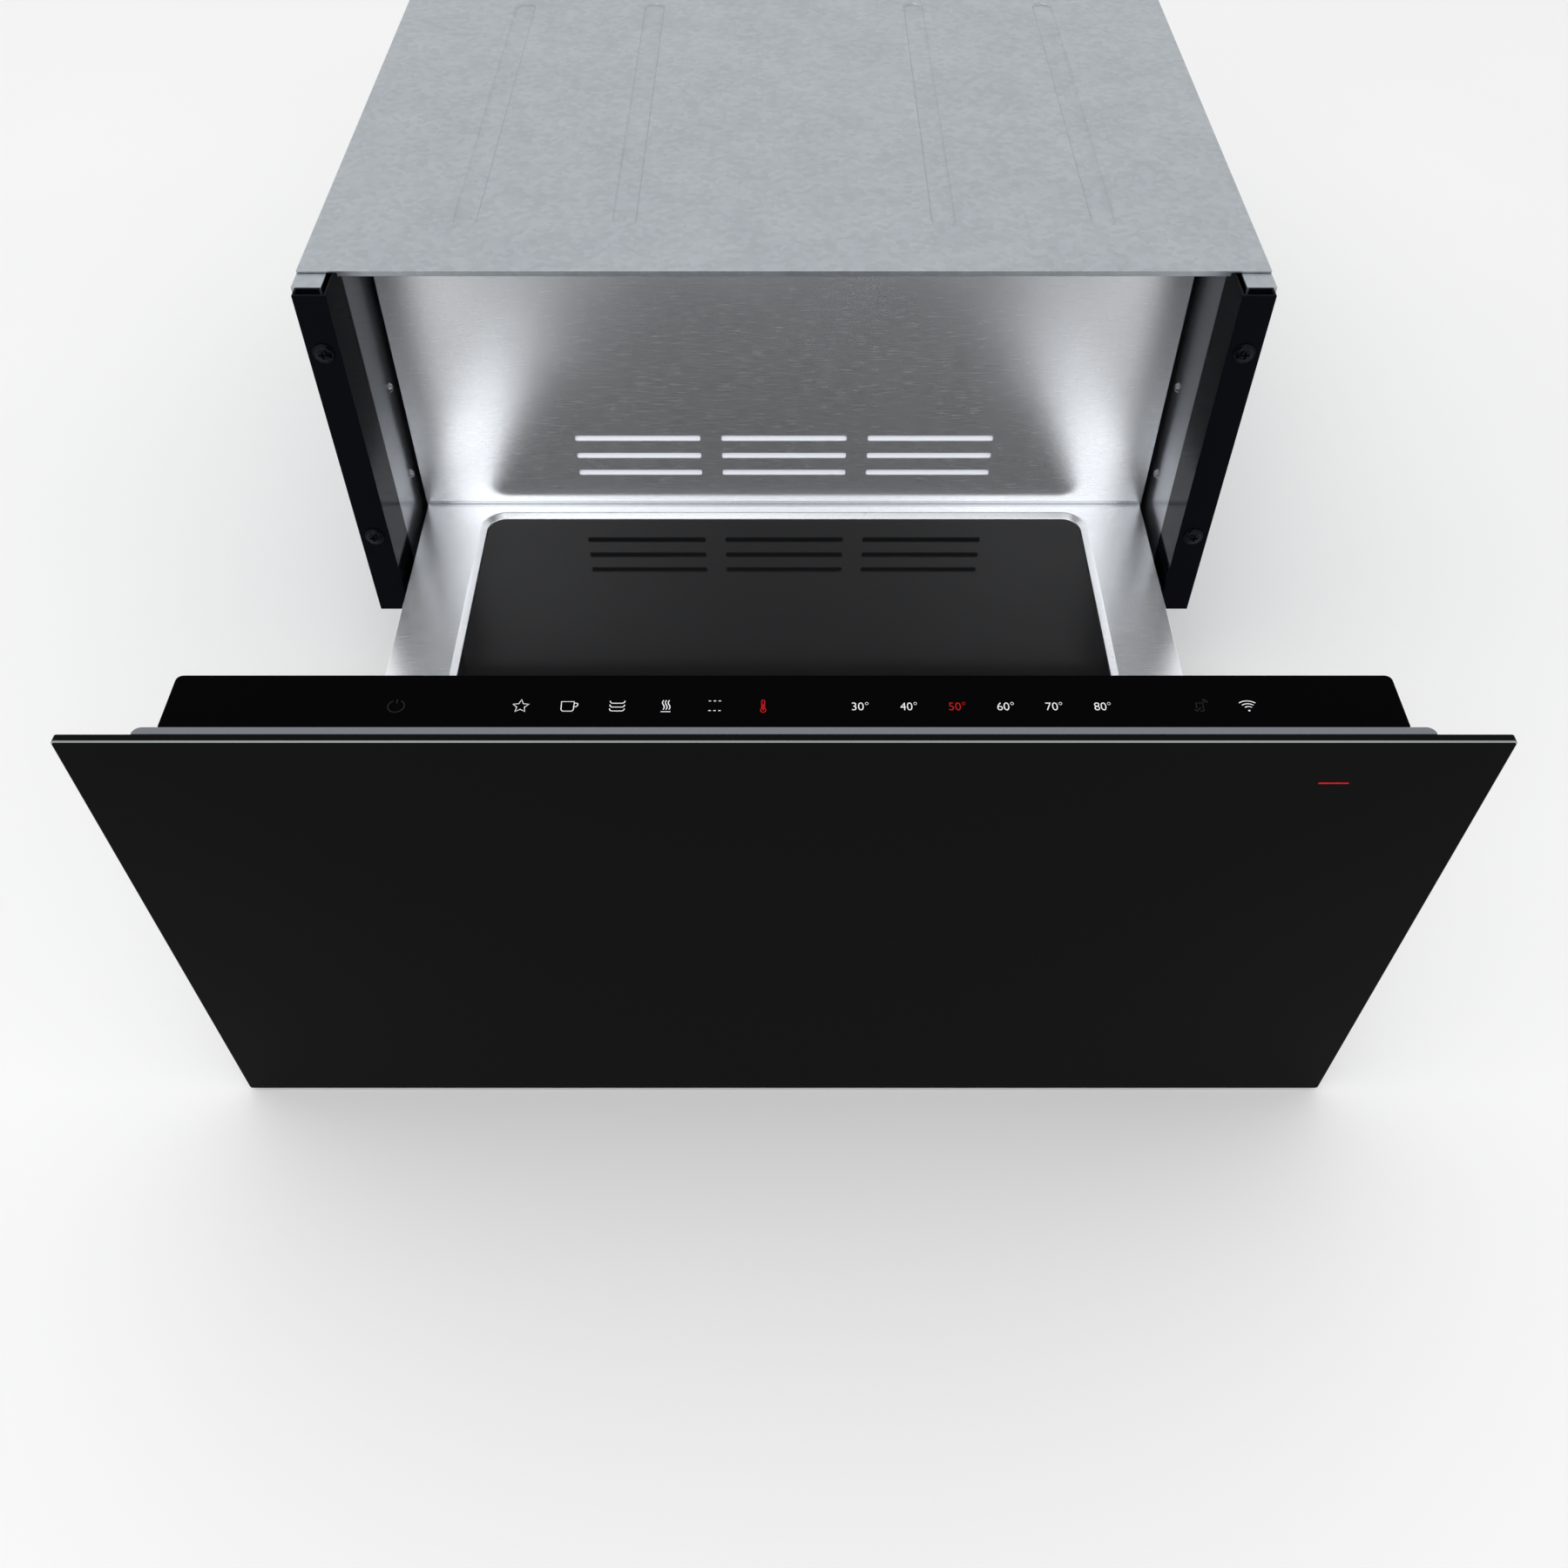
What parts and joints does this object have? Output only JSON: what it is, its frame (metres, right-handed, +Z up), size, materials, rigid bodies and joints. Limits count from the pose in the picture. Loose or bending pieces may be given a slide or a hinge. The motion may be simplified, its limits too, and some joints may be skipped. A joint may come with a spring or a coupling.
{
  "type": "built-in warming drawer",
  "caption": "Handle-less built-in warming drawer with black glass front, heated tray on telescopic runners, touch strip and fan-heated steel housing.",
  "frame": {"origin": "middle of the housing's flat underside, under the tub", "axes": "+X to the right seen from the front, +Y into the cabinet, along which the drawer slides, +Z up"},
  "size_m": [0.594, 0.8677, 0.289],
  "materials": {
    "galvanised": "galvanised sheet, faint spangle",
    "stainless": "brushed stainless steel",
    "polished_steel": "polished stainless steel",
    "black_paint": "satin blue-black powder coat",
    "grey_paint": "satin grey coat",
    "black_glass": "black back-printed glass, glossy and opaque",
    "plate_glass": "satin black hardened glass, opaque",
    "black_plastic": "moulded black plastic",
    "pale_plastic": "moulded pale plastic",
    "red_lens": "red light guide",
    "circuit_board": "printed circuit board",
    "mineral_wool": "pressed mineral wool",
    "element": "heating element sheath, oxidised steel",
    "dark_screw": "blackened steel",
    "bearing_steel": "zinc-plated steel"
  },
  "bodies": {
    "housing": {"base_pan": "galvanised", "top_cover": "galvanised", "rear_panel": "galvanised", "cavity_ceiling": "polished_steel", "air_guide_panel": "galvanised", "fan_housing": "galvanised", "ring_heater": "element", "fan_motor": "grey_paint", "temperature_sensor": "bearing_steel", "power_module": "black_plastic", "mains_inlet": "black_plastic", "left_side_panel": "galvanised", "left_front_frame": "black_paint", "left_inner_wall": "polished_steel", "left_latch_body": "black_plastic", "left_outer_rail": "bearing_steel", "left_lower_frame_screw": "dark_screw", "left_upper_frame_screw": "dark_screw", "right_side_panel": "galvanised", "right_front_frame": "black_paint", "right_inner_wall": "polished_steel", "right_latch_body": "black_plastic", "right_outer_rail": "bearing_steel", "right_lower_frame_screw": "dark_screw", "right_upper_frame_screw": "dark_screw"},
    "outer_cages": {"left_outer_ball_cage": "bearing_steel", "right_outer_ball_cage": "bearing_steel"},
    "middle_rails": {"left_middle_rail": "bearing_steel", "right_middle_rail": "bearing_steel"},
    "inner_cages": {"left_inner_ball_cage": "bearing_steel", "right_inner_ball_cage": "bearing_steel"},
    "drawer": {"front_glass": "black_glass", "front_carrier": "grey_paint", "status_light_guide": "red_lens", "front_inner_panel": "stainless", "front_insulation": "mineral_wool", "control_housing": "black_plastic", "control_glass": "black_glass", "control_board": "circuit_board", "drawer_floor": "stainless", "heat_plate": "plate_glass", "heating_element": "element", "floor_insulation": "mineral_wool", "under_pan": "galvanised", "drawer_rear_wall": "stainless", "left_inner_rail": "bearing_steel", "right_inner_rail": "bearing_steel", "left_front_bracket": "galvanised", "right_front_bracket": "galvanised"},
    "fan": {"fan_wheel": "bearing_steel", "motor_shaft": "bearing_steel"},
    "left_plunger": {"left_latch_plunger": "pale_plastic"},
    "right_plunger": {"right_latch_plunger": "pale_plastic"}
  },
  "joints": [
    {"name": "drawer_slide", "type": "slide", "parent": "housing", "child": "drawer", "axis": [0, -1, 0], "range_m": [-0.3197, 0.0523]},
    {"name": "middle_rail_slide", "type": "slide", "parent": "housing", "child": "middle_rails", "axis": [0, -1, 0], "range_m": [-0.15985, 0.02615]},
    {"name": "inner_cage_slide", "type": "slide", "parent": "housing", "child": "inner_cages", "axis": [0, -1, 0], "range_m": [-0.23977, 0.03923]},
    {"name": "outer_cage_slide", "type": "slide", "parent": "housing", "child": "outer_cages", "axis": [0, -1, 0], "range_m": [-0.07992, 0.01307]},
    {"name": "fan_spin", "type": "hinge", "parent": "housing", "child": "fan", "pos_m": [0, 0.178, 0.19], "axis": [0, 1, 0], "continuous": true},
    {"name": "left_plunger_slide", "type": "slide", "parent": "housing", "child": "left_plunger", "axis": [0, 1, 0], "range_m": [0, 0.005], "stiffness_N_per_m": 600, "springref_m": -0.002},
    {"name": "right_plunger_slide", "type": "slide", "parent": "housing", "child": "right_plunger", "axis": [0, 1, 0], "range_m": [0, 0.005], "stiffness_N_per_m": 600, "springref_m": -0.002}
  ],
  "couplings": [
    {"joint": "middle_rail_slide", "follows": "drawer_slide", "ratio": 0.5},
    {"joint": "inner_cage_slide", "follows": "drawer_slide", "ratio": 0.75},
    {"joint": "outer_cage_slide", "follows": "drawer_slide", "ratio": 0.25}
  ]
}
